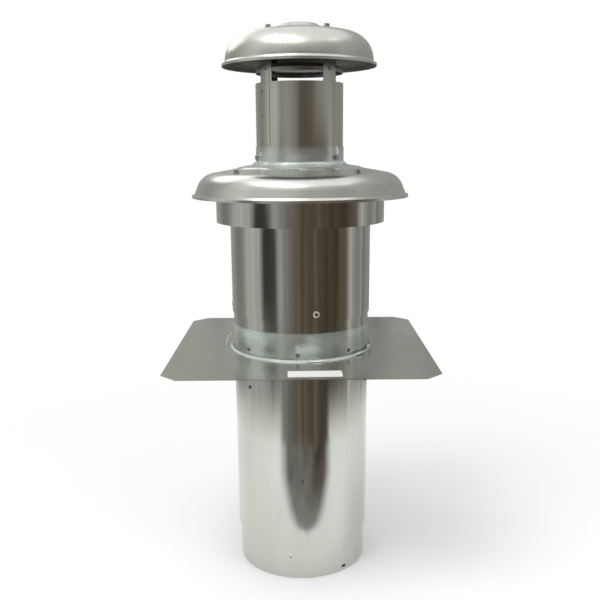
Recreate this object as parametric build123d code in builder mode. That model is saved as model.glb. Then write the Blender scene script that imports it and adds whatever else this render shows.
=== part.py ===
from build123d import *
from math import cos, degrees, radians, tan
import os

os.makedirs("parts", exist_ok=True)

# Flue roof jack: a flue pipe inside an air casing, both carried through a roof
# flashing, with a spun cap over each. Millimetres. The origin is the centre of
# the underside of the flashing plate, and +Z runs up the pipes.
# Bearings are degrees to the right of the front, which faces -Y.

# Sheet stock and fits
tube_wall = 0.6
spun_wall = 0.9
strap_wall = 1.0
seat_gap = 0.1
slide_gap = 0.4
stop_gap = 0.5
lap_width = 13.0
back_lap_bearing = 155.0
lap_end_gap = 4.0
lip_bend = 3.0
edge_bend = 1.2
bore_depth = 8.0
strap_bore_depth = 6.0
cut_margin = 5.0
hem_height = 3.5

# Flue outlet pipe, with four tabs that carry the top cap
flue_diameter = 127.0
flue_rim_height = 388.0
flue_outlet_low = 20.0
tab_count = 4
tab_width = 24.0
tab_foot_radius = 46.0
crown_turn = -3.0
outlet_lap_bearing = -56.0
bend_radius = 2.5

# Top cap
top_cap_diameter = 222.5
top_cap_lift = 23.0
top_cap_rise = 52.0
top_cap_boss_radius = 25.0
top_cap_boss_rise = 6.0
top_cap_boss_foot = 36.0
top_cap_boss_bend = 4.0
top_cap_boss_foot_bend = 6.0
top_cap_slope = 9.5
top_cap_shoulder_share = 0.9
top_cap_screw_radius = 57.0
cap_lip_flare = 4.5
cap_lip_height = 6.5
top_cap_draft = 3.0

# Baffle dish under the top cap
exhaust_gap = 13.5
baffle_rim = 6.0
baffle_rim_bend = 1.5
baffle_rise = 5.0
baffle_flat_radius = 53.0

# Air cap and its neck
air_cap_diameter = 320.0
air_cap_height = 228.0
air_cap_rise = 46.5
air_cap_slope = 10.0
air_cap_shoulder_share = 0.6
air_cap_draft = 22.0
air_cap_screw_radius = 118.0
neck_rise = 25.5
neck_flange_diameter = 176.0
neck_screw_drop = 15.0
neck_screw_bearing = -68.0
neck_screw_count = 3
neck_bead = 3.5
neck_bead_lip = 1.0
neck_bead_gap = 0.5

# Wind skirt and the brackets that carry it
skirt_diameter = 250.0
skirt_drop = 34.0
skirt_height = 58.0
skirt_lap_bearing = 36.0
bracket_width = 20.0
bracket_foot_length = 24.0
bracket_leg_height = 36.1
bracket_tab_length = 14.0
skirt_rivet_lift = 14.0
bracket_rivet_drop = 14.0

# Air casing above the roof
upper_casing_diameter = 209.5
upper_casing_low = 57.0
upper_casing_rise = 12.0
casing_rivet_rise = 12.0
casing_rivet_bearing = 12.0
casing_rivet_count = 4

# Air casing through the roof
lower_casing_diameter = 206.0
lower_casing_low = -291.0
lower_casing_overlap = 35.0
swage_start = 2.0
swage_length = 2.0
swage_bend = 1.0
drain_hole = 2.5
drain_hole_height = -185.0
drain_hole_bearing = 1.0

# Flashing
plate_size = 381.0
plate_thickness = 0.7
plate_corner = 23.0
collar_height = 41.0
collar_foot = 3.0
collar_bend = 1.5
collar_rivet_height = 10.0
collar_rivet_bearing = -48.0
collar_rivet_count = 8
flashing_bead = 2.6
flashing_bead_shoulder = 2.1

# Inner flue pipe through the roof, and the slip flue pipe on it
inner_flue_top = 70.0
inner_flue_low = -276.0
slip_flue_low = -334.0
slip_flue_top = -84.0
stop_bead_depth = 1.4
stop_bead_height = 8.0
stop_bead_flat = 2.0
stop_bead_bend = 0.8

# Slip casing
slip_casing_diameter = 200.0
slip_casing_low = -346.0
slip_casing_top = -66.0
rim_slot_length = 8.0
rim_slot_width = 4.0
rim_slot_rise = 7.0
rim_slot_bearing = 40.0
rim_hole = 2.4
rim_hole_rise = 34.0
rim_hole_bearing = -10.5

# Spacers between flue and casing
spacer_width = 16.0
spacer_leg = 26.0
spacer_rivet_rise = 17.0
lower_spacer_count = 3
lower_spacer_bearing = -48.0

# Fasteners
screw_shank = 4.0
screw_length = 9.0
screw_washer = 9.5
screw_washer_height = 1.0
screw_hex = 6.4
screw_hex_height = 3.2
rivet_shank = 3.2
rivet_head = 6.0
rivet_head_height = 1.0
rivet_tail = 4.6
rivet_tail_height = 1.2
large_rivet_head = 9.5
rivet_mandrel = 2.2
hole_gap = 0.15

# Heights and radii worked out from the sizes above
baffle_height = flue_rim_height + exhaust_gap
top_cap_height = flue_rim_height + top_cap_lift
neck_height = air_cap_height + air_cap_rise + neck_rise
neck_screw_height = neck_height - neck_screw_drop
casing_rivet_height = upper_casing_low + casing_rivet_rise
flue_outer = flue_diameter / 2
flue_inner = flue_outer - tube_wall
inner_flue_outer = flue_inner - seat_gap
inner_flue_inner = inner_flue_outer - tube_wall
slip_flue_inner = inner_flue_outer + slide_gap
slip_flue_outer = slip_flue_inner + tube_wall
upper_outer = upper_casing_diameter / 2
upper_inner = upper_outer - tube_wall
swage_outer = upper_inner - seat_gap
lower_outer = lower_casing_diameter / 2
lower_inner = lower_outer - tube_wall
lower_casing_top = upper_casing_low + lower_casing_overlap
slip_outer = slip_casing_diameter / 2
skirt_outer = skirt_diameter / 2
skirt_inner = skirt_outer - tube_wall
collar_outer = lower_outer + seat_gap + tube_wall
neck_outer = flue_outer + seat_gap + spun_wall


def sheet_section(path, bends, wall, side):
    """Edge of a bent sheet on the XZ plane: its path thickened to one side."""
    with BuildSketch(Plane.XZ) as section:
        with BuildLine():
            FilletPolyline(*path, radius=bends)
            offset(amount=wall, side=side)
        make_face()
    return section.sketch


def ring_section(inner, outer, low, high):
    """Upright rectangle on the XZ plane, from one radius to another."""
    with BuildSketch(Plane.XZ) as section:
        with Locations(((inner + outer) / 2, (low + high) / 2)):
            Rectangle(outer - inner, high - low)
    return section.sketch


def around(bearing, radius=0.0, height=0.0, lean=0.0):
    """Place at a bearing from the front, its up axis leaning outwards by lean degrees."""
    turn = Location((0, 0, 0), (0, 0, bearing - 90))
    return turn * Location((radius, 0, height), (0, lean, 0))


def arc_width(width, radius):
    """Degrees that a width takes up on a radius."""
    return degrees(width / radius)


def bearings(first, count):
    """Evenly spaced bearings, starting at the first."""
    return [first + 360 * number / count for number in range(count)]


def bore_holes(places, diameter, depth=bore_depth):
    """Cut round holes through the sheet at these places, across its face."""
    with Locations(*places):
        Cylinder(diameter / 2, depth, mode=Mode.SUBTRACT)


def lap_seam(bearing, inner, outer, low, high):
    """Strip where the two ends of a rolled sheet lie on each other."""
    arc = arc_width(lap_width, outer)
    with BuildPart() as strip:
        revolve(ring_section(inner, outer, low, high), axis=Axis.Z, revolution_arc=arc)
    return strip.part.rotate(Axis.Z, bearing - 90 - arc / 2)


def bent_strip(path, wall, side, width, radius, bearing, holes):
    """Strap bent along a path and rolled to the tube, with its fastener holes."""
    arc = arc_width(width, radius)
    bends = [bend_radius] * (len(path) - 2)
    with BuildPart() as strip:
        revolve(sheet_section(path, bends, wall, side), axis=Axis.Z, revolution_arc=arc)
    with BuildPart() as drilled:
        with Locations(around(bearing)):
            add(strip.part.rotate(Axis.Z, -arc / 2))
        bore_holes([around(bearing) * hole for hole in holes], rivet_shank + 2 * hole_gap, strap_bore_depth)
    return drilled.part


def hex_screw():
    """Sheet-metal screw with a hex washer head, seated at the origin and pointing down."""
    with BuildPart() as screw:
        Cylinder(screw_washer / 2, screw_washer_height, align=(Align.CENTER, Align.CENTER, Align.MIN))
        with BuildSketch(Plane.XY.offset(screw_washer_height)):
            RegularPolygon(screw_hex / 2, 6, major_radius=False)
        extrude(amount=screw_hex_height)
        Cylinder(screw_shank / 2, screw_length, align=(Align.CENTER, Align.CENTER, Align.MAX))
    return screw.part


def blind_rivet(grip, head):
    """Blind rivet seated at the origin, its shank down through a grip of sheet."""
    with BuildPart() as rivet:
        Cylinder(head / 2, rivet_head_height, align=(Align.CENTER, Align.CENTER, Align.MIN))
        chamfer(rivet.edges().group_by(Axis.Z)[-1], rivet_head_height * 0.5)
        Cylinder(rivet_shank / 2, grip, align=(Align.CENTER, Align.CENTER, Align.MAX))
        with Locations((0, 0, -grip)):
            Cylinder(rivet_tail / 2, rivet_tail_height, align=(Align.CENTER, Align.CENTER, Align.MAX))
        with Locations((0, 0, rivet_head_height)):
            Cylinder(rivet_mandrel / 2, rivet_head_height, mode=Mode.SUBTRACT)
    return rivet.part


def save(piece, name):
    """Label a piece and write it to its own file."""
    piece.label = name
    export_step(piece, f"parts/{name}.step")


def pressed_bead(outer, middle):
    """Outer face of a bead pressed into a tube, from its lower edge to its upper one."""
    return [
        (outer, middle - stop_bead_height / 2),
        (outer - stop_bead_depth, middle - stop_bead_flat / 2),
        (outer - stop_bead_depth, middle + stop_bead_flat / 2),
        (outer, middle + stop_bead_height / 2),
    ]


def top_cap_face(radius):
    """Height of the top cap's outer face at a radius, on its sloping crown."""
    drop = (radius - top_cap_boss_foot) * tan(radians(top_cap_slope))
    return top_cap_height + top_cap_rise - drop


def air_cap_face(radius):
    """Height of the air cap's outer face at a radius, on its sloping crown."""
    drop = (radius - neck_outer) * tan(radians(air_cap_slope))
    return air_cap_height + air_cap_rise - drop


def cap_wall_path(face, rim_radius, rim_height, draft, slope, share):
    """Shoulder corner, foot of the wall and lip of a spun cap's outer face.

    The bend of the shoulder comes with it, and takes up a share of the wall.
    """
    lean = tan(radians(draft))
    foot_radius = rim_radius - cap_lip_flare
    foot_height = rim_height + cap_lip_height
    rise = (face(foot_radius) - foot_height) / (1 - lean * tan(radians(slope)))
    shoulder = (foot_radius - rise * lean, foot_height + rise)
    lip = (rim_radius - spun_wall, rim_height + hem_height / 2)
    wall_length = rise / cos(radians(draft))
    shoulder_bend = share * wall_length / tan(radians((90 - draft - slope) / 2))
    return [shoulder, (foot_radius, foot_height), lip], shoulder_bend


crown_bearings = bearings(crown_turn + 45, tab_count)
neck_screw_bearings = bearings(neck_screw_bearing, neck_screw_count)
casing_rivet_bearings = bearings(casing_rivet_bearing, casing_rivet_count)
collar_rivet_bearings = bearings(collar_rivet_bearing, collar_rivet_count)
lower_spacer_bearings = bearings(lower_spacer_bearing, lower_spacer_count)
top_cap_seats = [
    around(turn, top_cap_screw_radius, top_cap_face(top_cap_screw_radius), top_cap_slope)
    for turn in crown_bearings
]
air_cap_seats = [
    around(turn, air_cap_screw_radius, air_cap_face(air_cap_screw_radius), air_cap_slope)
    for turn in crown_bearings
]

# Top cap: boss, sloping crown, wide shoulder and flared lip with a hem
with BuildPart() as top_cap:
    crown_path = [
        (0, top_cap_face(top_cap_boss_foot) + top_cap_boss_rise),
        (top_cap_boss_radius, top_cap_face(top_cap_boss_foot) + top_cap_boss_rise),
        (top_cap_boss_foot, top_cap_face(top_cap_boss_foot)),
    ]
    wall_path, shoulder_bend = cap_wall_path(
        top_cap_face, top_cap_diameter / 2, top_cap_height,
        top_cap_draft, top_cap_slope, top_cap_shoulder_share,
    )
    crown_bends = [top_cap_boss_bend, top_cap_boss_foot_bend, shoulder_bend, lip_bend]
    cap_section = sheet_section(crown_path + wall_path, crown_bends, spun_wall, Side.RIGHT)
    revolve(cap_section, axis=Axis.Z)
    hem = ring_section(
        top_cap_diameter / 2 - 2 * spun_wall, top_cap_diameter / 2,
        top_cap_height, top_cap_height + hem_height,
    )
    revolve(hem, axis=Axis.Z)
    bore_holes(top_cap_seats, screw_shank + 2 * hole_gap)
save(top_cap.part, "top_cap")

# Flue outlet pipe: a lapped tube whose rim is cut away between four tabs,
# which are folded in under the top cap
tab_lift = (spun_wall + seat_gap) / cos(radians(top_cap_slope))
tab_path = [
    (flue_outer, flue_outlet_low),
    (flue_outer, top_cap_face(flue_outer) - tab_lift),
    (tab_foot_radius, top_cap_face(tab_foot_radius) - tab_lift),
]
window_arc = 360 / tab_count - arc_width(tab_width, flue_outer)
with BuildPart() as flue_outlet_pipe:
    revolve(sheet_section(tab_path, [bend_radius], tube_wall, Side.LEFT), axis=Axis.Z)
    with BuildPart(mode=Mode.PRIVATE) as window:
        revolve(
            ring_section(tab_foot_radius - cut_margin, flue_outer + cut_margin,
                         flue_rim_height, top_cap_face(0)),
            axis=Axis.Z, revolution_arc=window_arc,
        )
    for turn in crown_bearings:
        with Locations(around(turn + 180 / tab_count)):
            add(window.part.rotate(Axis.Z, -window_arc / 2), mode=Mode.SUBTRACT)
    add(lap_seam(outlet_lap_bearing, flue_inner - tube_wall, flue_inner,
                 inner_flue_top + lap_end_gap, flue_rim_height - lap_end_gap))
    bore_holes(top_cap_seats, screw_shank + 2 * hole_gap)
    bore_holes(
        [around(turn, flue_outer, baffle_height + baffle_rim / 2, 90) for turn in crown_bearings],
        rivet_shank + 2 * hole_gap,
    )
    bore_holes(
        [around(turn, flue_outer, neck_screw_height, 90) for turn in neck_screw_bearings],
        screw_shank + 2 * hole_gap,
    )
save(flue_outlet_pipe.part, "flue_outlet_pipe")

# Baffle: an inverted dish riveted inside the tabs
baffle_outer = flue_inner - seat_gap
baffle_path = [
    (0, baffle_height + baffle_rim + baffle_rise),
    (baffle_flat_radius, baffle_height + baffle_rim + baffle_rise),
    (baffle_outer, baffle_height + baffle_rim),
    (baffle_outer, baffle_height),
]
with BuildPart() as cap_baffle:
    revolve(sheet_section(baffle_path, [bend_radius, baffle_rim_bend], tube_wall, Side.RIGHT), axis=Axis.Z)
    bore_holes(
        [around(turn, baffle_outer, baffle_height + baffle_rim / 2, 90) for turn in crown_bearings],
        rivet_shank + 2 * hole_gap,
    )
save(cap_baffle.part, "cap_baffle")

with BuildPart() as baffle_rivets:
    for turn in crown_bearings:
        with Locations(around(turn, flue_outer, baffle_height + baffle_rim / 2, 90)):
            add(blind_rivet(2 * tube_wall + 2 * seat_gap, rivet_head))
save(baffle_rivets.part, "baffle_rivets")

with BuildPart() as top_cap_screws:
    for seat in top_cap_seats:
        with Locations(seat * Location((0, 0, seat_gap / 2))):
            add(hex_screw())
save(top_cap_screws.part, "top_cap_screws")

# Air cap: open round the flue, with a sloping crown and a flared, hemmed lip
with BuildPart() as air_cap:
    wall_path, shoulder_bend = cap_wall_path(
        air_cap_face, air_cap_diameter / 2, air_cap_height,
        air_cap_draft, air_cap_slope, air_cap_shoulder_share,
    )
    crown_start = [(neck_outer, air_cap_face(neck_outer))]
    cap_section = sheet_section(crown_start + wall_path, [shoulder_bend, lip_bend], spun_wall, Side.RIGHT)
    revolve(cap_section, axis=Axis.Z)
    hem = ring_section(
        air_cap_diameter / 2 - 2 * spun_wall, air_cap_diameter / 2,
        air_cap_height, air_cap_height + hem_height,
    )
    revolve(hem, axis=Axis.Z)
    bore_holes(air_cap_seats, screw_shank + 2 * hole_gap)
save(air_cap.part, "air_cap")

# Neck collar: a drawn sleeve on the flue with a flange down on the air cap
flange_lift = (spun_wall + seat_gap) / cos(radians(air_cap_slope))
flange_radius = neck_flange_diameter / 2
neck_path = [
    (neck_outer, neck_height),
    (neck_outer, air_cap_face(neck_outer) + flange_lift),
    (flange_radius, air_cap_face(flange_radius) + flange_lift),
]
with BuildPart() as neck_collar:
    revolve(sheet_section(neck_path, [bend_radius], spun_wall, Side.RIGHT), axis=Axis.Z)
    bore_holes(
        [around(turn, neck_outer, neck_screw_height, 90) for turn in neck_screw_bearings],
        screw_shank + 2 * hole_gap,
    )
save(neck_collar.part, "neck_collar")

# Sealant laid in the corner of the neck, clear of the screws above it
bead_base = air_cap_face(neck_outer) + flange_lift
bead_edge = neck_outer + bend_radius + neck_bead
bead_foot = air_cap_face(bead_edge) + flange_lift + seat_gap
bead_low = air_cap_face(neck_outer + bend_radius) + flange_lift + seat_gap
with BuildPart() as neck_sealant:
    with BuildSketch(Plane.XZ):
        with BuildLine():
            Polyline(
                (neck_outer + seat_gap, bead_base + bend_radius + neck_bead_gap),
                (neck_outer + seat_gap, bead_base + neck_bead),
                (neck_outer + neck_bead_lip, bead_base + neck_bead),
                (bead_edge, bead_foot),
                (neck_outer + bend_radius + neck_bead_gap, bead_low),
                close=True,
            )
        make_face()
    revolve(axis=Axis.Z)
save(neck_sealant.part, "neck_sealant")

with BuildPart() as neck_screws:
    for turn in neck_screw_bearings:
        with Locations(around(turn, neck_outer + seat_gap / 2, neck_screw_height, 90)):
            add(hex_screw())
save(neck_screws.part, "neck_screws")

with BuildPart() as air_cap_screws:
    for seat in air_cap_seats:
        with Locations(seat * Location((0, 0, seat_gap / 2))):
            add(hex_screw())
save(air_cap_screws.part, "air_cap_screws")

# Heights of the skirt and its brackets, which hang from the air cap, and of the casing under them
leg_radius = skirt_inner - seat_gap - strap_wall
tab_drop = (spun_wall + seat_gap + strap_wall) / cos(radians(air_cap_slope))
tab_radius = leg_radius - bracket_tab_length
bracket_arm_height = air_cap_face(leg_radius) - tab_drop - bracket_leg_height
skirt_rivet_height = bracket_arm_height + skirt_rivet_lift
bracket_rivet_height = bracket_arm_height - bracket_rivet_drop
skirt_low = bracket_arm_height - skirt_drop
upper_casing_top = bracket_arm_height + upper_casing_rise

# Wind skirt: an open band lapped on the outside
with BuildPart() as wind_skirt:
    revolve(ring_section(skirt_inner, skirt_outer, skirt_low, skirt_low + skirt_height), axis=Axis.Z)
    add(lap_seam(skirt_lap_bearing, skirt_outer, skirt_outer + tube_wall,
                 skirt_low, skirt_low + skirt_height))
    bore_holes(
        [around(turn, skirt_outer, skirt_rivet_height, 90) for turn in crown_bearings],
        rivet_shank + 2 * hole_gap,
    )
save(wind_skirt.part, "wind_skirt")

# Skirt brackets: foot on the casing, arm across the air gap, leg up the skirt
# and tab under the air cap
bracket_path = [
    (upper_outer + seat_gap, bracket_arm_height - bracket_foot_length),
    (upper_outer + seat_gap, bracket_arm_height),
    (leg_radius, bracket_arm_height),
    (leg_radius, air_cap_face(leg_radius) - tab_drop),
    (tab_radius, air_cap_face(tab_radius) - tab_drop),
]
bracket_holes = [
    Location((upper_outer, 0, bracket_rivet_height), (0, 90, 0)),
    Location((skirt_inner, 0, skirt_rivet_height), (0, 90, 0)),
]
for number, turn in enumerate(crown_bearings, start=1):
    strip = bent_strip(
        bracket_path, strap_wall, Side.RIGHT, bracket_width, leg_radius, turn, bracket_holes
    )
    with BuildPart() as skirt_bracket:
        add(strip)
        bore_holes(air_cap_seats, screw_shank + 2 * hole_gap)
    save(skirt_bracket.part, f"skirt_bracket_{number}")

with BuildPart() as skirt_rivets:
    for turn in crown_bearings:
        with Locations(around(turn, skirt_outer, skirt_rivet_height, 90)):
            add(blind_rivet(tube_wall + strap_wall + 2 * seat_gap, rivet_head))
save(skirt_rivets.part, "skirt_rivets")

foot_face = upper_outer + seat_gap + strap_wall
with BuildPart() as bracket_rivets:
    for turn in crown_bearings:
        with Locations(around(turn, foot_face, bracket_rivet_height, 90)):
            add(blind_rivet(tube_wall + strap_wall + 2 * seat_gap, rivet_head))
save(bracket_rivets.part, "bracket_rivets")

# Upper casing: a lapped tube, the lap turned inwards at the back
with BuildPart() as upper_casing:
    revolve(ring_section(upper_inner, upper_outer, upper_casing_low, upper_casing_top), axis=Axis.Z)
    add(lap_seam(back_lap_bearing, upper_inner - tube_wall, upper_inner,
                 lower_casing_top + lap_end_gap, upper_casing_top))
    bore_holes(
        [around(turn, upper_outer, casing_rivet_height, 90) for turn in casing_rivet_bearings],
        rivet_shank + 2 * hole_gap,
    )
    bore_holes(
        [around(turn, upper_outer, bracket_rivet_height, 90) for turn in crown_bearings],
        rivet_shank + 2 * hole_gap,
    )
save(upper_casing.part, "upper_casing")

# Lower casing: swaged out where it fits inside the upper casing,
# its bottom edge turned in to guide the slip casing
swage_low = upper_casing_low + swage_start
lower_path = [
    (swage_outer, lower_casing_top),
    (swage_outer, swage_low + swage_length),
    (lower_outer, swage_low),
    (lower_outer, lower_casing_low),
    (slip_outer + slide_gap, lower_casing_low),
]
lower_bends = [swage_bend, swage_bend, edge_bend]
spacer_rivet_height = slip_casing_top + tube_wall + stop_gap + spacer_rivet_rise
with BuildPart() as lower_casing:
    revolve(sheet_section(lower_path, lower_bends, tube_wall, Side.RIGHT), axis=Axis.Z)
    add(lap_seam(back_lap_bearing, lower_inner - tube_wall, lower_inner,
                 spacer_rivet_height + spacer_leg, collar_height))
    bore_holes(
        [around(turn, swage_outer, casing_rivet_height, 90) for turn in casing_rivet_bearings],
        rivet_shank + 2 * hole_gap,
    )
    bore_holes(
        [around(turn, lower_outer, collar_rivet_height, 90) for turn in collar_rivet_bearings],
        rivet_shank + 2 * hole_gap,
    )
    bore_holes(
        [around(turn, lower_outer, spacer_rivet_height, 90) for turn in lower_spacer_bearings],
        rivet_shank + 2 * hole_gap,
    )
    bore_holes([around(drain_hole_bearing, lower_outer, drain_hole_height, 90)], drain_hole)
save(lower_casing.part, "lower_casing")

# Flashing plate: square with clipped corners, open round the casing
with BuildPart() as flashing_plate:
    with BuildSketch() as plate_outline:
        Rectangle(plate_size, plate_size)
        chamfer(plate_outline.vertices(), plate_corner)
        Circle(lower_outer + slide_gap, mode=Mode.SUBTRACT)
    extrude(amount=plate_thickness)
save(flashing_plate.part, "flashing_plate")

# Flashing collar: a sleeve on the casing, flared out at its foot onto the plate
foot_radius = collar_outer + collar_foot
collar_path = [
    (collar_outer, collar_height),
    (collar_outer, plate_thickness + tube_wall),
    (foot_radius, plate_thickness + tube_wall),
]
with BuildPart() as flashing_collar:
    revolve(sheet_section(collar_path, [collar_bend], tube_wall, Side.RIGHT), axis=Axis.Z)
    bore_holes(
        [around(turn, collar_outer, collar_rivet_height, 90) for turn in collar_rivet_bearings],
        rivet_shank + 2 * hole_gap,
    )
save(flashing_collar.part, "flashing_collar")

with BuildPart() as collar_rivets:
    for turn in collar_rivet_bearings:
        with Locations(around(turn, collar_outer, collar_rivet_height, 90)):
            add(blind_rivet(2 * tube_wall + 2 * seat_gap, rivet_head))
save(collar_rivets.part, "collar_rivets")

# Sealant laid round the foot of the collar
bead_start = foot_radius + seat_gap
with BuildPart() as flashing_sealant:
    with BuildSketch(Plane.XZ):
        with BuildLine():
            Polyline(
                (bead_start, plate_thickness), (bead_start, plate_thickness + flashing_bead),
                (bead_start + flashing_bead / 2, plate_thickness + flashing_bead_shoulder),
                (bead_start + flashing_bead, plate_thickness), close=True,
            )
        make_face()
    revolve(axis=Axis.Z)
save(flashing_sealant.part, "flashing_sealant")

# Spacers under the casing rivets: the outer leg is riveted, the inner one bears on the flue
spacer_low = swage_low + swage_length + stop_gap
upper_spacer_path = [
    (flue_outer + seat_gap, spacer_low + spacer_leg),
    (flue_outer + seat_gap, spacer_low),
    (swage_outer - tube_wall - seat_gap, spacer_low),
    (swage_outer - tube_wall - seat_gap, spacer_low + spacer_leg),
]
with BuildPart() as casing_rivets:
    grip = 2 * tube_wall + strap_wall + 3 * seat_gap
    for turn in casing_rivet_bearings:
        with Locations(around(turn, upper_outer, casing_rivet_height, 90)):
            add(blind_rivet(grip, large_rivet_head))
save(casing_rivets.part, "casing_rivets")

for number, turn in enumerate(casing_rivet_bearings, start=1):
    upper_spacer = bent_strip(
        upper_spacer_path, strap_wall, Side.LEFT, spacer_width, upper_outer, turn,
        [Location((swage_outer - tube_wall, 0, casing_rivet_height), (0, 90, 0))],
    )
    save(upper_spacer, f"upper_spacer_{number}")

# Spacers in the lower casing: the slip casing comes up against their undersides
lower_spacer_low = slip_casing_top + tube_wall + stop_gap
lower_spacer_path = [
    (inner_flue_outer + seat_gap, lower_spacer_low + spacer_leg),
    (inner_flue_outer + seat_gap, lower_spacer_low),
    (lower_inner - seat_gap, lower_spacer_low),
    (lower_inner - seat_gap, lower_spacer_low + spacer_leg),
]
for number, turn in enumerate(lower_spacer_bearings, start=1):
    lower_spacer = bent_strip(
        lower_spacer_path, strap_wall, Side.LEFT, spacer_width, lower_outer, turn,
        [Location((lower_inner, 0, spacer_rivet_height), (0, 90, 0))],
    )
    save(lower_spacer, f"lower_spacer_{number}")

with BuildPart() as spacer_rivets:
    for turn in lower_spacer_bearings:
        with Locations(around(turn, lower_outer, spacer_rivet_height, 90)):
            add(blind_rivet(tube_wall + strap_wall + 2 * seat_gap, rivet_head))
save(spacer_rivets.part, "spacer_rivets")

# Inner flue pipe: fits up inside the outlet pipe, its lap turned inwards at the back
with BuildPart() as inner_flue_pipe:
    revolve(ring_section(inner_flue_inner, inner_flue_outer, inner_flue_low, inner_flue_top), axis=Axis.Z)
    add(lap_seam(back_lap_bearing, inner_flue_inner - tube_wall, inner_flue_inner,
                 inner_flue_low, inner_flue_top))
save(inner_flue_pipe.part, "inner_flue_pipe")

# Slip flue pipe: slides on the inner flue, with a bead pressed in that
# stops both the inner flue and the appliance's own collar
flue_bead = pressed_bead(slip_flue_outer, inner_flue_low - stop_gap - stop_bead_height / 2)
slip_flue_path = [(slip_flue_outer, slip_flue_low)] + flue_bead + [(slip_flue_outer, slip_flue_top)]
with BuildPart() as slip_flue_pipe:
    revolve(sheet_section(slip_flue_path, [stop_bead_bend] * 4, tube_wall, Side.LEFT), axis=Axis.Z)
save(slip_flue_pipe.part, "slip_flue_pipe")

# Slip casing: slides in the lower casing, with a flange turned out at its top
# and a bead pressed in at the lower casing's edge, where the appliance's collar stops
flange_outer = lower_inner - slide_gap
casing_bead = pressed_bead(slip_outer, lower_casing_low - stop_gap + stop_bead_height / 2)
flange_path = [(slip_outer, slip_casing_top), (flange_outer, slip_casing_top)]
slip_casing_path = [(slip_outer, slip_casing_low)] + casing_bead + flange_path
with BuildPart() as slip_casing:
    revolve(sheet_section(slip_casing_path, [stop_bead_bend] * 5, tube_wall, Side.LEFT), axis=Axis.Z)
    bore_holes([around(rim_hole_bearing, slip_outer, slip_casing_low + rim_hole_rise, 90)], rim_hole)
    slot_place = around(rim_slot_bearing, slip_outer, slip_casing_low + rim_slot_rise, 90)
    with BuildSketch(Plane(slot_place)):
        SlotOverall(rim_slot_length, rim_slot_width, rotation=90)
    extrude(amount=bore_depth / 2, both=True, mode=Mode.SUBTRACT)
save(slip_casing.part, "slip_casing")
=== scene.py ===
import math

import bmesh
import bpy
from mathutils import Matrix, Vector


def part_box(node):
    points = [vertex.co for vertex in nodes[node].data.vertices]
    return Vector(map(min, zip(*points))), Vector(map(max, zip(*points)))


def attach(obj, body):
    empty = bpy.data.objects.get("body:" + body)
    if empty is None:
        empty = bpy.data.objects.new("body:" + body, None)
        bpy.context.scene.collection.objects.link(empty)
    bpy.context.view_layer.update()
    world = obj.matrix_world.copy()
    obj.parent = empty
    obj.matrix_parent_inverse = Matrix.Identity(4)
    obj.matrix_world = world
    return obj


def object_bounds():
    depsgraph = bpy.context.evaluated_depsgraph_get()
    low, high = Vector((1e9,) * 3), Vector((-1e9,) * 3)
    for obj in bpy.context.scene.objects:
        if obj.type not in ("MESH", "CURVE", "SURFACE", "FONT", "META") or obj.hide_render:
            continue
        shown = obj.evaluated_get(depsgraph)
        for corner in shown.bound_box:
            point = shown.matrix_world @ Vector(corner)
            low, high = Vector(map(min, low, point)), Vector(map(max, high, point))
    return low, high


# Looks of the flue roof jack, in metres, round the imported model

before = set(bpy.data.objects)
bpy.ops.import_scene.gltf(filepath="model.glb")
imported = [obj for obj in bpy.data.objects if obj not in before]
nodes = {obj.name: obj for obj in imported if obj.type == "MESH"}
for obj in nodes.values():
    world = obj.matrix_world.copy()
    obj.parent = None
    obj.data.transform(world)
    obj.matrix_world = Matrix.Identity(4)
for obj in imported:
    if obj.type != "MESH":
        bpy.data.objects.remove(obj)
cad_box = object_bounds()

ROOT = "roof_jack"
FLOOR_HEIGHT = cad_box[0][2]


# Shader building blocks

def new_material(name, colour, metallic, roughness):
    """Material with one principled shader, and its node tree."""
    material = bpy.data.materials.new(name)
    material.use_nodes = True
    tree = material.node_tree
    tree.nodes.clear()
    output = tree.nodes.new("ShaderNodeOutputMaterial")
    shader = tree.nodes.new("ShaderNodeBsdfPrincipled")
    shader.inputs["Base Color"].default_value = (*colour, 1)
    shader.inputs["Metallic"].default_value = metallic
    shader.inputs["Roughness"].default_value = roughness
    tree.links.new(shader.outputs[0], output.inputs[0])
    return material, tree, shader


def place(tree):
    """Coordinates in the row frame, in metres."""
    return tree.nodes.new("ShaderNodeTexCoord").outputs["Object"]


def stretched(tree, scale):
    """Row coordinates scaled along X, Y and Z, to draw a pattern out along one of them."""
    mapping = tree.nodes.new("ShaderNodeMapping")
    mapping.inputs["Scale"].default_value = scale
    tree.links.new(place(tree), mapping.inputs["Vector"])
    return mapping.outputs[0]


def row_axes(tree):
    """The row coordinates X, Y and Z, each on its own, in metres."""
    split = tree.nodes.new("ShaderNodeSeparateXYZ")
    tree.links.new(place(tree), split.inputs[0])
    return split.outputs["X"], split.outputs["Y"], split.outputs["Z"]


def from_axis(tree, x, y):
    """Distance from the upright axis."""
    flat = tree.nodes.new("ShaderNodeCombineXYZ")
    tree.links.new(x, flat.inputs["X"])
    tree.links.new(y, flat.inputs["Y"])
    length = tree.nodes.new("ShaderNodeVectorMath")
    length.operation = "LENGTH"
    tree.links.new(flat.outputs[0], length.inputs[0])
    return length.outputs["Value"]


def rings(tree, scale):
    """Distance from the axis and height, scaled, so that a pattern runs in rings."""
    x, y, z = row_axes(tree)
    join = tree.nodes.new("ShaderNodeCombineXYZ")
    tree.links.new(from_axis(tree, x, y), join.inputs["X"])
    tree.links.new(z, join.inputs["Z"])
    grown = tree.nodes.new("ShaderNodeVectorMath")
    grown.operation = "SCALE"
    grown.inputs["Scale"].default_value = scale
    tree.links.new(join.outputs[0], grown.inputs[0])
    return grown.outputs[0]


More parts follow.
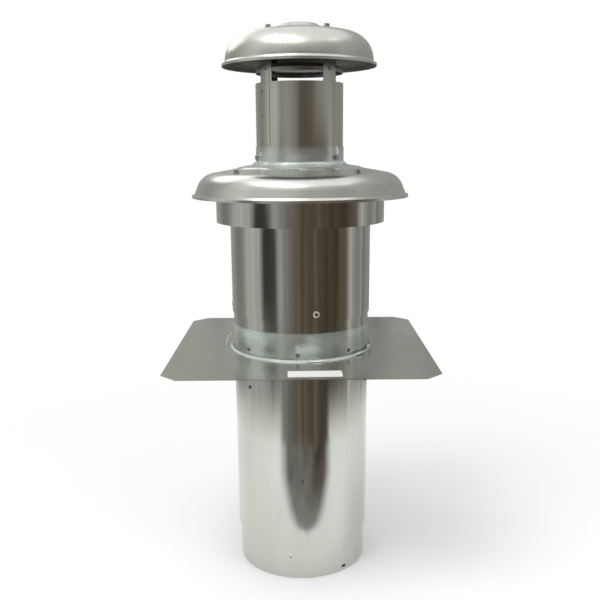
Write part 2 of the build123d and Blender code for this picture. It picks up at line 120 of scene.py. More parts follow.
def cloud(tree, vector, scale=1.0, detail=3.0, roughness=0.5):
    """Noise value between 0 and 1."""
    texture = tree.nodes.new("ShaderNodeTexNoise")
    texture.inputs["Scale"].default_value = scale
    texture.inputs["Detail"].default_value = detail
    texture.inputs["Roughness"].default_value = roughness
    tree.links.new(vector, texture.inputs["Vector"])
    return texture.outputs["Fac"]


def spread(tree, value, low, high, to_low, to_high):
    """A value remapped from one range to another, held at its ends."""
    remap = tree.nodes.new("ShaderNodeMapRange")
    remap.inputs["From Min"].default_value = low
    remap.inputs["From Max"].default_value = high
    remap.inputs["To Min"].default_value = to_low
    remap.inputs["To Max"].default_value = to_high
    tree.links.new(value, remap.inputs["Value"])
    return remap.outputs[0]


def tinted(tree, factor, first, second):
    """Colour between two colours, each given as a tuple or a socket."""
    mix = tree.nodes.new("ShaderNodeMix")
    mix.data_type = "RGBA"
    tree.links.new(factor, mix.inputs["Factor"])
    for socket, colour in ((mix.inputs["A"], first), (mix.inputs["B"], second)):
        if isinstance(colour, tuple):
            socket.default_value = (*colour, 1)
        else:
            tree.links.new(colour, socket)
    return mix.outputs["Result"]


def height_zone(tree, low, high):
    """0 below a height and 1 above another, in metres."""
    _x, _y, z = row_axes(tree)
    return spread(tree, z, low, high, 0.0, 1.0)


def facing_down(tree, low, high):
    """1 on faces whose normal has a Z below the low value, 0 where it is above the high value."""
    surface = tree.nodes.new("ShaderNodeNewGeometry")
    split = tree.nodes.new("ShaderNodeSeparateXYZ")
    tree.links.new(surface.outputs["Normal"], split.inputs[0])
    return spread(tree, split.outputs["Z"], low, high, 1.0, 0.0)


def bumped(tree, shader, layers):
    """Stack relief layers, each a value and its depth in metres."""
    normal = None
    for value, depth in layers:
        bump = tree.nodes.new("ShaderNodeBump")
        bump.inputs["Strength"].default_value = 1.0
        bump.inputs["Distance"].default_value = depth
        tree.links.new(value, bump.inputs["Height"])
        if normal is not None:
            tree.links.new(normal, bump.inputs["Normal"])
        normal = bump.outputs[0]
    tree.links.new(normal, shader.inputs["Normal"])


def calculated(tree, operation, first, second=None):
    """Result of a math operation on one or two values, each a socket or a number."""
    node = tree.nodes.new("ShaderNodeMath")
    node.operation = operation
    for socket, value in zip(node.inputs, (first, second)):
        if isinstance(value, (int, float)):
            socket.default_value = value
        elif value is not None:
            tree.links.new(value, socket)
    return node.outputs[0]


def combined(tree, first, second):
    """Product of two values, each a socket or a number."""
    return calculated(tree, "MULTIPLY", first, second)


def apart(tree, value, middle):
    """How far a value is from another, to either side."""
    return calculated(tree, "ABSOLUTE", calculated(tree, "SUBTRACT", value, middle))


def bearing_of(tree):
    """Bearing in degrees to the right of the front, and distance from the axis."""
    x, y, _z = row_axes(tree)
    turn = calculated(tree, "ARCTAN2", x, combined(tree, y, -1.0))
    return calculated(tree, "DEGREES", turn), from_axis(tree, x, y)


# Materials, with lengths in metres and bearings in degrees to the right of the front

# Lap of the outlet pipe: its right edge, and the spot welds along its middle
LAP_EDGE = -41.0
LAP_EDGE_HALF = 0.4
LAP_HALF = 15.0
WELD_BEARING = LAP_EDGE - LAP_HALF
WELD_HEIGHTS = (0.376, 0.343, 0.307)
WELD_RADIUS = 0.0016
WELD_LINE_CORE = 0.0002
WELD_LINE_EDGE = 0.0007
METRES_PER_DEGREE = 0.0011
PIPE_INSIDE = 0.0630
PIPE_OUTSIDE = 0.0633

# Bearings between which the films on the collars grow thinner
FILM_THINS_FROM = 5.0
FILM_THINS_TO = 50.0

# Tones of marks and layers, and of painted shade
LAP_SHADOW = (0.16, 0.15, 0.13)
WELD_DARK = (0.12, 0.11, 0.10)
PIPE_BORE_SHADE = (0.15, 0.14, 0.12)
SPUN_UNDERSIDE_SHADE = (0.11, 0.11, 0.095)
PALE_SCUFF = (0.86, 0.86, 0.82)
CLEAR_LUMPS = (0.92, 0.95, 0.93)
PAPER_LIGHT = (0.85, 0.85, 0.83)
PAPER_DARK = (0.77, 0.77, 0.74)

# Depths of relief, and how deep light goes into the sealant
SHEET_WAVE = 0.00035
SHEET_RIPPLE = 0.00022
SHEET_GRAIN = 0.000006
PLATE_WAVE = 0.0004
SPUN_WAVE = 0.0004
SPUN_RINGS = 0.000007
PIPE_WAVE = 0.0004
PIPE_RIPPLE = 0.00005
LAP_STEP = 0.0004
WELD_DENT = 0.0004
FILM_WAVE = 0.0005
FILM_GRAIN = 0.00006
PLATING_SCRATCH = 0.00005
SEALANT_LUMP = 0.0002
GEL_LUMP = 0.0004
PAPER_CREASE = 0.0006
PAPER_FIBRE = 0.00003
SEALANT_GLOW_DEPTH = 0.003


def clouded_zinc(tree, patches, streaks, light, dark):
    """Zinc that darkens in cloudy patches and along upright streaks."""
    zinc = tinted(tree, spread(tree, patches, 0.35, 0.7, 0, 1), light, dark)
    return tinted(tree, spread(tree, streaks, 0.5, 0.75, 0, 0.5), zinc, dark)


def galvanised(name, light, dark, gloss, dull, wave=SHEET_WAVE):
    """Rolled galvanised sheet: fine upright grain, cloudy zinc and a slow waviness."""
    material, tree, shader = new_material(name, light, 1.0, gloss)
    patches = cloud(tree, stretched(tree, (9, 9, 4)), detail=4)
    streaks = cloud(tree, stretched(tree, (70, 70, 2.5)), detail=3)
    grain = cloud(tree, stretched(tree, (700, 700, 12)), detail=2)
    waviness = cloud(tree, stretched(tree, (7, 7, 2.2)), detail=1)
    ripples = cloud(tree, stretched(tree, (34, 34, 1.0)), detail=3)
    tree.links.new(clouded_zinc(tree, patches, streaks, light, dark), shader.inputs["Base Color"])
    tree.links.new(spread(tree, patches, 0.3, 0.7, gloss, dull), shader.inputs["Roughness"])
    bumped(tree, shader, [(waviness, wave), (ripples, SHEET_RIPPLE), (grain, SHEET_GRAIN)])
    return material


def spun(name, light, dark, gloss, dull):
    """Spun sheet: fine turning rings, a satin skin, faint handling marks, and a rougher inside darkened
    with painted shade on the faces that look down.
    """
    material, tree, shader = new_material(name, light, 1.0, gloss)
    bands = cloud(tree, rings(tree, 110), detail=3)
    marks = cloud(tree, stretched(tree, (22, 22, 22)), detail=5, roughness=0.6)
    slow = cloud(tree, stretched(tree, (9, 9, 9)), detail=1)
    scuffs = cloud(tree, stretched(tree, (40, 40, 12)), detail=3)
    marked = tinted(tree, spread(tree, marks, 0.42, 0.68, 0, 1), light, dark)
    worn = tinted(tree, spread(tree, bands, 0.45, 0.7, 0, 0.35), marked, dark)
    scuffed = tinted(tree, spread(tree, scuffs, 0.6, 0.8, 0, 0.12), worn, PALE_SCUFF)
    # painted shade: faces that look down, such as the insides of the caps, turn dark, and they are also a
    # little rougher
    inside = facing_down(tree, -0.35, 0.0)
    tree.links.new(tinted(tree, inside, scuffed, SPUN_UNDERSIDE_SHADE), shader.inputs["Base Color"])
    skin = spread(tree, marks, 0.35, 0.7, gloss, dull)
    duller = combined(tree, inside, 0.18)
    tree.links.new(calculated(tree, "ADD", skin, duller), shader.inputs["Roughness"])
    bumped(tree, shader, [(slow, SPUN_WAVE), (bands, SPUN_RINGS)])
    return material


def outlet_pipe(name, light, dark):
    """Galvanised flue pipe with its lap edge, its row of spot welds and painted shade on its inside."""
    material, tree, shader = new_material(name, light, 1.0, 0.24)
    patches = cloud(tree, stretched(tree, (9, 9, 4)), detail=4)
    streaks = cloud(tree, stretched(tree, (90, 90, 3)), detail=3)
    waviness = cloud(tree, stretched(tree, (8, 8, 3)), detail=1)
    ripples = cloud(tree, stretched(tree, (40, 40, 1.5)), detail=3)
    turn, distance = bearing_of(tree)
    zinc_tone = clouded_zinc(tree, patches, streaks, light, dark)
    edge = spread(tree, apart(tree, turn, LAP_EDGE), 0.25, 0.7, 1.0, 0.0)
    lapped = tinted(tree, combined(tree, edge, 0.75), zinc_tone, LAP_SHADOW)
    weld = spot_welds(tree, turn)
    welded = tinted(tree, weld, lapped, WELD_DARK)
    # painted shade: the bore, inward of the pipe's outer face, turns dark
    inner = spread(tree, distance, PIPE_INSIDE, PIPE_OUTSIDE, 1.0, 0.0)
    tree.links.new(tinted(tree, inner, welded, PIPE_BORE_SHADE), shader.inputs["Base Color"])
    tree.links.new(spread(tree, patches, 0.3, 0.7, 0.18, 0.26), shader.inputs["Roughness"])
    step = spread(tree, turn, LAP_EDGE - LAP_EDGE_HALF, LAP_EDGE + LAP_EDGE_HALF, 1.0, 0.0)
    bumped(tree, shader, [
        (waviness, PIPE_WAVE), (ripples, PIPE_RIPPLE), (step, LAP_STEP), (weld, WELD_DENT),
    ])
    return material


def spot_welds(tree, turn):
    """Small round marks on the lap, one at each height."""
    _x, _y, z = row_axes(tree)
    across = combined(tree, calculated(tree, "SUBTRACT", turn, WELD_BEARING), METRES_PER_DEGREE)
    total = None
    for height in WELD_HEIGHTS:
        along = calculated(tree, "SUBTRACT", z, height)
        squares = calculated(tree, "ADD", combined(tree, across, across), combined(tree, along, along))
        off_ring = apart(tree, calculated(tree, "SQRT", squares), WELD_RADIUS)
        ring = spread(tree, off_ring, WELD_LINE_CORE, WELD_LINE_EDGE, 1.0, 0.0)
        total = ring if total is None else calculated(tree, "MAXIMUM", total, ring)
    return total


def filmed(name, metal, film, gloss, milk, low, high, right):
    """Galvanised sheet under a blue-grey film: thick at its foot, patchy, and thinner at the right."""
    material, tree, shader = new_material(name, metal, 0.9, gloss)
    smear = cloud(tree, stretched(tree, (16, 16, 22)), detail=4)
    fine = cloud(tree, stretched(tree, (90, 90, 160)), detail=3)
    foot = calculated(tree, "SUBTRACT", 1.0, height_zone(tree, low, high))
    turn, _distance = bearing_of(tree)
    thinned = combined(tree, foot, spread(tree, turn, FILM_THINS_FROM, FILM_THINS_TO, 1.0, right))
    cover = combined(tree, spread(tree, smear, 0.36, 0.56, 0.15, 1.0), thinned)
    tree.links.new(tinted(tree, cover, metal, film), shader.inputs["Base Color"])
    tree.links.new(spread(tree, cover, 0.0, 1.0, gloss, gloss + 0.1), shader.inputs["Roughness"])
    tree.links.new(spread(tree, cover, 0.0, 1.0, 1.0, 1.0 - milk), shader.inputs["Metallic"])
    bumped(tree, shader, [(smear, FILM_WAVE), (combined(tree, fine, cover), FILM_GRAIN)])
    shader.inputs["Coat Weight"].default_value = 0.2
    shader.inputs["Coat Roughness"].default_value = 0.15
    return material


def plated(name, light, dark, metallic=1.0):
    """Zinc-plated fastener: bright faces, darker in its fine scratches."""
    material, tree, shader = new_material(name, light, metallic, 0.3)
    wear = cloud(tree, stretched(tree, (400, 400, 400)), detail=4)
    worn = tinted(tree, spread(tree, wear, 0.4, 0.65, 0, 1), light, dark)
    tree.links.new(worn, shader.inputs["Base Color"])
    tree.links.new(spread(tree, wear, 0.3, 0.7, 0.22, 0.45), shader.inputs["Roughness"])
    bumped(tree, shader, [(wear, PLATING_SCRATCH)])
    return material


def silicone(name, colour):
    """Sealant bead: waxy, slightly cloudy, darker where it is thin, with a wet highlight."""
    material, tree, shader = new_material(name, colour, 0.0, 0.22)
    lumps = cloud(tree, stretched(tree, (120, 120, 120)), detail=3)
    thin = spread(tree, cloud(tree, stretched(tree, (14, 14, 14)), detail=3), 0.42, 0.62, 0.0, 0.7)
    paler = tuple(min(1.0, value * 1.12) for value in colour)
    deeper = tuple(value * 0.45 for value in colour)
    milky = tinted(tree, lumps, colour, paler)
    tree.links.new(tinted(tree, thin, milky, deeper), shader.inputs["Base Color"])
    tree.links.new(spread(tree, lumps, 0.3, 0.7, 0.16, 0.32), shader.inputs["Roughness"])
    shader.inputs["Subsurface Weight"].default_value = 0.3
    shader.inputs["Subsurface Radius"].default_value = (SEALANT_GLOW_DEPTH,) * 3
    shader.inputs["Coat Weight"].default_value = 0.5
    bumped(tree, shader, [(lumps, SEALANT_LUMP)])
    return material


def clear_gel(name, colour):
    """Clear sealant smeared thin, so that the metal behind shows through."""
    material, tree, shader = new_material(name, colour, 0.0, 0.18)
    lumps = cloud(tree, stretched(tree, (60, 60, 90)), detail=3)
    tree.links.new(tinted(tree, lumps, colour, CLEAR_LUMPS), shader.inputs["Base Color"])
    shader.inputs["Transmission Weight"].default_value = 0.85
    shader.inputs["IOR"].default_value = 1.2
    bumped(tree, shader, [(lumps, GEL_LUMP)])
    return material


def paper(name):
    """Blank sticker: white stock, faintly mottled, with a soft sheen."""
    material, tree, shader = new_material(name, PAPER_LIGHT, 0.0, 0.45)
    fibres = cloud(tree, stretched(tree, (260, 520, 200)), detail=4)
    creases = cloud(tree, stretched(tree, (40, 18, 20)), detail=2)
    mottled = tinted(tree, spread(tree, fibres, 0.35, 0.65, 0, 1), PAPER_LIGHT, PAPER_DARK)
    tree.links.new(mottled, shader.inputs["Base Color"])
    tree.links.new(spread(tree, fibres, 0.3, 0.7, 0.4, 0.55), shader.inputs["Roughness"])
    bumped(tree, shader, [(creases, PAPER_CREASE), (fibres, PAPER_FIBRE)])
    return material


bright_sheet = galvanised("bright_sheet", (0.62, 0.63, 0.575), (0.54, 0.545, 0.49), 0.09, 0.16)
pipe_sheet = outlet_pipe("pipe_sheet", (0.62, 0.62, 0.56), (0.53, 0.52, 0.46))
# darker copy of the galvanised sheet: painted shade for the pipes that stand inside the casing
shaded_inner_sheet = galvanised("shaded_inner_sheet", (0.42, 0.41, 0.38), (0.34, 0.33, 0.30), 0.3, 0.42)
plate_sheet = galvanised("plate_sheet", (0.74, 0.74, 0.68), (0.66, 0.66, 0.60), 0.2, 0.3,
                         PLATE_WAVE)
# darker copy of the galvanised sheet: painted shade for the straps, brackets and baffle in the shade of the
# caps and pipes
shaded_strap_sheet = galvanised("shaded_strap_sheet", (0.46, 0.45, 0.42), (0.36, 0.35, 0.32), 0.3, 0.42)
top_spun = spun("top_spun", (0.69, 0.705, 0.65), (0.61, 0.625, 0.57), 0.25, 0.32)
air_spun = spun("air_spun", (0.74, 0.755, 0.70), (0.67, 0.685, 0.63), 0.23, 0.30)
neck_film = filmed("neck_film", (0.64, 0.65, 0.60), (0.61, 0.66, 0.63), 0.20, 0.22, 0.286, 0.301, 1.0)
collar_film = filmed(
    "collar_film", (0.65, 0.68, 0.64), (0.62, 0.72, 0.68), 0.15, 0.34, 0.036, 0.05, 0.3)
zinc = plated("zinc", (0.62, 0.61, 0.57), (0.36, 0.35, 0.32))
# darker copy of the zinc plating: painted shade for the spacer rivets inside the jack
shaded_zinc = plated("shaded_zinc", (0.20, 0.19, 0.17), (0.08, 0.08, 0.07))
filmed_zinc = plated("filmed_zinc", (0.36, 0.37, 0.34), (0.19, 0.19, 0.17))
sealant = silicone("sealant", (0.50, 0.55, 0.525))
white_sealant = silicone("white_sealant", (0.74, 0.78, 0.76))
clear_sealant = clear_gel("clear_sealant", (0.84, 0.88, 0.86))
bright_zinc = plated("bright_zinc", (0.76, 0.76, 0.71), (0.50, 0.50, 0.46), 0.6)
# near-black finish for the rivet stubs: painted shade of the hollow centres of the rivet heads
painted_hole_shade = plated("painted_hole_shade", (0.05, 0.05, 0.045), (0.02, 0.02, 0.02))
sticker = paper("sticker")

NODE_MATERIALS = {
    "top_cap": top_spun, "air_cap": air_spun, "neck_collar": neck_film,
    "flashing_collar": collar_film, "flashing_plate": plate_sheet,
    "flue_outlet_pipe": pipe_sheet, "cap_baffle": shaded_strap_sheet,
    "inner_flue_pipe": shaded_inner_sheet, "slip_flue_pipe": shaded_inner_sheet,
    "neck_sealant": clear_sealant, "flashing_sealant": sealant,
    "casing_rivets": bright_zinc, "collar_rivets": filmed_zinc, "spacer_rivets": shaded_zinc,
}


def material_for(node):
    """Finish of a node, by its name or by what kind of piece it is."""
    if node in NODE_MATERIALS:
        return NODE_MATERIALS[node]
    if node.endswith(("_screws", "_rivets")):
        return zinc
    if "bracket" in node or "spacer" in node:
        return shaded_strap_sheet
    return bright_sheet


# Pieces

for node, piece in nodes.items():
    piece.data.materials.clear()
    piece.data.materials.append(material_for(node))

# Places on the model that the pieces below start from
PLATE_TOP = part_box("flashing_plate")[1][2]
COLLAR_FOOT = 0.003
COLLAR_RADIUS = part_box("flashing_collar")[1][0] - COLLAR_FOOT
FLANGE_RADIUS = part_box("neck_collar")[1][0]
NECK_SCREW_REACH = 0.0045

# Stubs in the blind rivets: how far their middle lies under the face of the head, and their size
HEAD_RIM = 0.0004
CORE_DEPTH = 0.0008
CORE_FLATNESS = 0.35
CORE_RADII = {"casing": 0.0030, "collar": 0.0010, "spacer": 0.00125}

# Sticker on the plate, turned by so many degrees
STICKER_X = 0.0185
STICKER_Y = -0.1655
STICKER_LIFT = 0.0001
STICKER_TURN = 1.2

# Smeared ring: each wave of its rim has a count, a start and a weight
RING_STEPS = 144
RING_WAVES = ((5, 0.8, 1.0), (11, 0.0, 0.7), (23, 0.0, 0.5))
RING_SWAY = 0.0011
CROWN_BAND = 0.0012
CROWN_SLOPE = 10.0

# Ends of a strand are this share as thick as its middle
END_TAPER = 0.35


def finished(piece, material):
    """Give a piece its only material, and hang it on the body that it rides on."""
    piece.data.materials.clear()
    piece.data.materials.append(material)
    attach(piece, ROOT)
    return piece


def piece_from(name, mesh_builder):
    """New object from a bmesh."""
    mesh = bpy.data.meshes.new(name)
    mesh_builder.to_mesh(mesh)
    mesh_builder.free()
    piece = bpy.data.objects.new(name, mesh)
    bpy.context.scene.collection.objects.link(piece)
    return piece


def polar(radius, bearing, height):
    """Point at a bearing in degrees to the right of the front."""
    turn = math.radians(bearing)
    return Vector((radius * math.sin(turn), -radius * math.cos(turn), height))


def rivet_row(node, depth):
    """Point at a depth under the face of each head in a node of loose heads, and its outward direction."""
    build = bmesh.new()
    build.from_mesh(nodes[node].data)
    bmesh.ops.remove_doubles(build, verts=build.verts, dist=1e-6)
    rows = []
    left = set(build.verts)
    while left:
        group = [left.pop()]
        for vert in group:
            for edge in vert.link_edges:
                other = edge.other_vert(vert)
                if other in left:
                    left.remove(other)
                    group.append(other)
        reach = max(math.hypot(vert.co.x, vert.co.y) for vert in group)
        rim = [vert.co for vert in group if math.hypot(vert.co.x, vert.co.y) > reach - HEAD_RIM]
        middle = sum(rim, Vector()) / len(rim)
        outward = Vector((middle.x, middle.y, 0)).normalized()
        rows.append((outward * (reach - depth) + Vector((0, 0, middle.z)), outward))
    build.free()
    return rows


def rivet_cores(name, places, radius, material):
    """Mandrel stubs left in blind rivets: small domed plugs in near black, painted shade that shows as the
    hollow dark centres of the heads.
    """
    build = bmesh.new()
    for spot, outward in places:
        turn = outward.to_track_quat("Z", "Y").to_matrix().to_4x4()
        turn.translation = spot
        bmesh.ops.create_uvsphere(
            build, u_segments=14, v_segments=8, radius=radius,
            matrix=turn @ Matrix.Diagonal((1, 1, CORE_FLATNESS, 1)),
        )
    return finished(piece_from(name, build), material)


def blank_sticker():
    """Thin sheet with rounded corners, lying on the front of the plate a little askew."""
    half_long, half_wide, corner, thick = 0.0370, 0.0140, 0.0016, 0.00016
    corner_steps = 4
    build = bmesh.new()
    outline = []
    for quarter, (sign_x, sign_y) in enumerate(((1, 1), (-1, 1), (-1, -1), (1, -1))):
        for step in range(corner_steps + 1):
            turn = math.radians(90 * (quarter + step / corner_steps))
            outline.append((
                sign_x * (half_long - corner) + corner * math.cos(turn),
                sign_y * (half_wide - corner) + corner * math.sin(turn),
            ))
    low = [build.verts.new((x, y, 0)) for x, y in outline]
    high = [build.verts.new((x, y, thick)) for x, y in outline]
    build.faces.new(high)
    build.faces.new(list(reversed(low)))
    for here in range(len(outline)):
        there = (here + 1) % len(outline)
        build.faces.new((low[here], low[there], high[there], high[here]))
    spot = Matrix.Translation((STICKER_X, STICKER_Y, PLATE_TOP + STICKER_LIFT))
    build.transform(spot @ Matrix.Rotation(math.radians(STICKER_TURN), 4, "Z"))
    return finished(piece_from("blank_sticker", build), sticker)


def turned_ring(name, profile, material, uneven):
    """Ring turned from a closed profile of radius, height and share of the rim's unevenness."""
    build = bmesh.new()
    loops = []
    for step in range(RING_STEPS):
        turn = math.tau * step / RING_STEPS
        sway = uneven * sum(weight * math.sin(count * turn + start) for count, start, weight in RING_WAVES)
        loops.append([
            build.verts.new(polar(radius + sway * share, math.degrees(turn), height))
            for radius, height, share in profile
        ])
    size = len(profile)
    for here in range(RING_STEPS):
        first, second = loops[here], loops[(here + 1) % RING_STEPS]
        for knot in range(size):
            after = (knot + 1) % size
            build.faces.new((first[knot], second[knot], second[after], first[after]))
    bmesh.ops.recalc_face_normals(build, faces=build.faces)
    for face in build.faces:
        face.smooth = True
    return finished(piece_from(name, build), material)


def crown_height(node, radius):
    """Height of the top of a turned node at a radius."""
    near = [vert.co.z for vert in nodes[node].data.vertices
            if abs(math.hypot(vert.co.x, vert.co.y) - radius) < CROWN_BAND]
    return max(near)


def neck_smear():
    """Thin ring smeared over the rim of the neck's flange and down onto the crown of the air cap."""
    rim = FLANGE_RADIUS
    top = crown_height("neck_collar", rim)
    fall = math.tan(math.radians(CROWN_SLOPE))
    crown = top - 0.006 * fall
    return turned_ring("neck_smear", [
        (rim - 0.010, top + 0.010 * fall - 0.0002, 0.0),
        (rim - 0.008, top + 0.008 * fall + 0.0003, 0.2),
        (rim + 0.001, top - 0.0001, 0.5),
        (rim + 0.007, crown - 0.0016, 1.0),
        (rim + 0.007, crown - 0.0022, 1.0),
        (rim - 0.0005, top - 0.0012, 0.2),
    ], neck_film, RING_SWAY)


def strand(name, wall, steps, thickness, material):
    """Thread of sealant, thin at its ends, past points given as distance off a wall, bearing and height."""
    curve = bpy.data.curves.new(name, "CURVE")
    curve.dimensions = "3D"
    curve.bevel_depth = thickness
    curve.bevel_resolution = 3
    curve.use_fill_caps = True
    line = curve.splines.new("BEZIER")
    line.bezier_points.add(len(steps) - 1)
    for index, (knot, (off, bearing, height)) in enumerate(zip(line.bezier_points, steps)):
        knot.co = polar(wall + off, bearing, height)
        knot.handle_left_type = "AUTO"
        knot.handle_right_type = "AUTO"
        knot.radius = END_TAPER if index in (0, len(steps) - 1) else 1.0
    piece = bpy.data.objects.new(name, curve)
    bpy.context.scene.collection.objects.link(piece)
    return finished(piece, material)


neck_smear()
blank_sticker()
for kind, radius in CORE_RADII.items():
    rivet_cores(f"{kind}_rivet_cores", rivet_row(f"{kind}_rivets", CORE_DEPTH), radius, painted_hole_shade)

strand("sealant_strand_left", COLLAR_RADIUS, [
    (0.0015, -80, 0.026), (0.006, -84, 0.019), (0.011, -86, 0.010), (0.013, -84, PLATE_TOP + 0.0012),
], 0.0008, sealant)
strand("sealant_strand_right", COLLAR_RADIUS, [
    (0.0012, 70, 0.020), (0.004, 73, 0.013), (0.008, 76, PLATE_TOP + 0.0015),
], 0.0010, sealant)
NECK_RADIUS = math.hypot(*rivet_row("neck_screws", 0.0)[0][0].xy) - NECK_SCREW_REACH
strand("neck_smear_right", NECK_RADIUS, [
    (0.0004, 54, 0.301), (0.0012, 58, 0.292), (0.0016, 55, 0.281), (0.006, 53, 0.2725),
], 0.0016, clear_sealant)
strand("neck_smear_left", NECK_RADIUS, [
    (0.0005, -60, 0.293), (0.0012, -62, 0.284), (0.005, -60, 0.2735),
], 0.0013, clear_sealant)
strand("sealant_smear_front", COLLAR_RADIUS, [
    (0.0055, 46, PLATE_TOP + 0.002), (0.0065, 52, PLATE_TOP + 0.003), (0.0058, 60, PLATE_TOP + 0.002),
], 0.0022, white_sealant)
strand("sealant_smear_right", COLLAR_RADIUS, [
    (0.0050, 66, PLATE_TOP + 0.003), (0.0035, 71, PLATE_TOP + 0.006), (0.0055, 77, PLATE_TOP + 0.003),
], 0.0017, white_sealant)
strand("sealant_smear_centre", COLLAR_RADIUS, [
    (0.0062, 4, PLATE_TOP + 0.0012), (0.0070, 12, PLATE_TOP + 0.0014), (0.0062, 19, PLATE_TOP + 0.0012),
], 0.0013, white_sealant)


# Stage: floor, reflected room, lights and camera

# Glow of the room's cloth, each as painted shade in the depth and painted light on the crest of its folds,
# and other glow tones
PALE_CLOTH = ((0.50, 0.50, 0.48), (0.64, 0.64, 0.62))
WALL_CLOTH = ((0.20, 0.20, 0.19), (0.48, 0.48, 0.46))
SHADE_CLOTH = ((0.15, 0.15, 0.14), (0.27, 0.27, 0.25))
DARK_CLOTH = ((0.045, 0.038, 0.03), (0.19, 0.15, 0.115))
BLACK_CLOTH = ((0.03, 0.03, 0.03), (0.09, 0.09, 0.08))
FOOT_TONE = (0.92, 0.92, 0.90)
UPPER_TONE = (0.47, 0.47, 0.45)
TONGUE_TIP_TONE = (0.36, 0.36, 0.35)
CARD_WHITE = (1.0, 1.0, 0.98)

# Wall all round: its folds grow faint and its tone pale over ranges of height
WALL_RADIUS = 0.68
WALL_TOP = 1.1
WALL_UPPER_LOW = 0.55
WALL_UPPER_HIGH = 1.05
FOLDS_FADE_FROM = 0.15
FOLDS_FADE_TO = 0.32
FOOT_TOP = -0.20
BAND_STEPS = 96

# Upright cards, whose ends are soft over so many degrees low down and higher up
CARD_RADIUS = 0.66
FLAG_RADIUS = 0.64
LOW_FLAG_RADIUS = 0.65
CARD_SOFT_LOW = 8.0
CARD_SOFT_HIGH = 17.0
CARD_SOFTENS_FROM = 0.10
CARD_SOFTENS_TO = 0.34
CARD_SOFT_TOP = 0.15
SHARP_FOOT = 0.001

# Dark strip on the floor, with its bearings in degrees
TONGUE_BEARING = 6.5
TONGUE_HALF = 38.0
TONGUE_SPREAD = 48.0
TONGUE_STEPS = 24
TONGUE_DARKENS_FROM = 5.0
TONGUE_DARKENS_TO = 25.0
TONGUE_EDGE_OUT = -4.0
TONGUE_EDGE_IN = 9.0
TONGUE_OVERLAP = 0.02
TONGUE_NEAR = 0.25
TONGUE_FAR = 0.70
TONGUE_WIDE = 0.50
TONGUE_PALE_TO = 0.45
TONGUE_SWELL = 0.31
TONGUE_LIFT = 0.002

# Floor, which fades into the backdrop between two distances from the axis, and the light round it
FLOOR_HALF = 9.0
FLOOR_DROP = 0.0005
FLOOR_GREY = (0.94, 0.94, 0.94)
FLOOR_FADES_FROM = 0.25
FLOOR_FADES_TO = 1.1
WORLD_TINT = (0.97, 0.98, 1.0)
WORLD_STRENGTH = 0.8
HIGH_CARD_AIM = Vector((0, 0, 0.3))

# Camera: its angles in degrees, its lens and sensor in millimetres
CAMERA_PLACE = (0.0, -1.1545, 0.2972)
CAMERA_DOWNWARD = 13.38
CAMERA_ROLL = -0.4
CAMERA_LENS = 45.76
CAMERA_SENSOR = 36.0
CAMERA_SHIFT_X = -0.0017
CAMERA_SHIFT_Y = 0.05


def hidden_from_all_but_reflections(piece):
    """Only mirror-like rays see this piece."""
    piece.visible_camera = False
    piece.visible_diffuse = False
    piece.visible_shadow = False
    piece.visible_transmission = False
    piece.visible_volume_scatter = False


def glow(name, colour, strength):
    """Material that only shines."""
    material = bpy.data.materials.new(name)
    material.use_nodes = True
    tree = material.node_tree
    tree.nodes.clear()
    output = tree.nodes.new("ShaderNodeOutputMaterial")
    shine = tree.nodes.new("ShaderNodeEmission")
    shine.inputs["Color"].default_value = (*colour, 1)
    shine.inputs["Strength"].default_value = strength
    tree.links.new(shine.outputs[0], output.inputs[0])
    return material, tree, shine


def covered(material, cover):
    """Let the stage behind show where the cover is 0."""
    tree = material.node_tree
    output = next(node for node in tree.nodes if node.type == "OUTPUT_MATERIAL")
    shine = next(node for node in tree.nodes if node.type == "EMISSION")
    clear = tree.nodes.new("ShaderNodeBsdfTransparent")
    choose = tree.nodes.new("ShaderNodeMixShader")
    tree.links.new(cover, choose.inputs[0])
    tree.links.new(clear.outputs[0], choose.inputs[1])
    tree.links.new(shine.outputs[0], choose.inputs[2])
    tree.links.new(choose.outputs[0], output.inputs[0])


def upright_band(build, radius, first, last, low, high):
    """Upright curved sheet between two bearings."""
    turns = [first + (last - first) * step / BAND_STEPS for step in range(BAND_STEPS + 1)]
    bottom = [build.verts.new(polar(radius, turn, low)) for turn in turns]
    top = [build.verts.new(polar(radius, turn, high)) for turn in turns]
    for here in range(BAND_STEPS):
        build.faces.new((bottom[here], bottom[here + 1], top[here + 1], top[here]))


def room_wall():
    """Glowing wall of soft upright folds all round, pale high up and where it runs out into the floor."""
    build = bmesh.new()
    upright_band(build, WALL_RADIUS, -180, 180, FLOOR_HEIGHT, WALL_TOP)
    wall = piece_from("stage_wall", build)
    material, tree, shine = glow("stage_wall", WALL_CLOTH[0], 1.0)
    raised = gradual(tree, FLOOR_HEIGHT, FOOT_TOP)
    upper = height_zone(tree, WALL_UPPER_LOW, WALL_UPPER_HIGH)
    cloth = tinted(tree, upper, fold_shade_and_light(tree, *WALL_CLOTH), UPPER_TONE)
    tree.links.new(tinted(tree, raised, FOOT_TONE, cloth), shine.inputs["Color"])
    wall.data.materials.append(material)
    hidden_from_all_but_reflections(wall)
    return wall


def fold_shade_and_light(tree, dark, light):
    """Two glow tones of cloth in upright folds, painted shade in their depths and painted light on their
    crests, fainter higher up.
    """
    folds = spread(tree, cloud(tree, stretched(tree, (9, 9, 0.25)), detail=4, roughness=0.6),
                   0.38, 0.62, -0.5, 0.5)
    depth = spread(tree, height_zone(tree, FOLDS_FADE_FROM, FOLDS_FADE_TO), 0.0, 1.0, 1.0, 0.4)
    return tinted(tree, calculated(tree, "ADD", combined(tree, folds, depth), 0.5), dark, light)


def gradual(tree, low, high):
    """0 below a height and 1 above another, eased at both ends."""
    zone = height_zone(tree, low, high)
    zone.node.interpolation_type = "SMOOTHSTEP"
    return zone


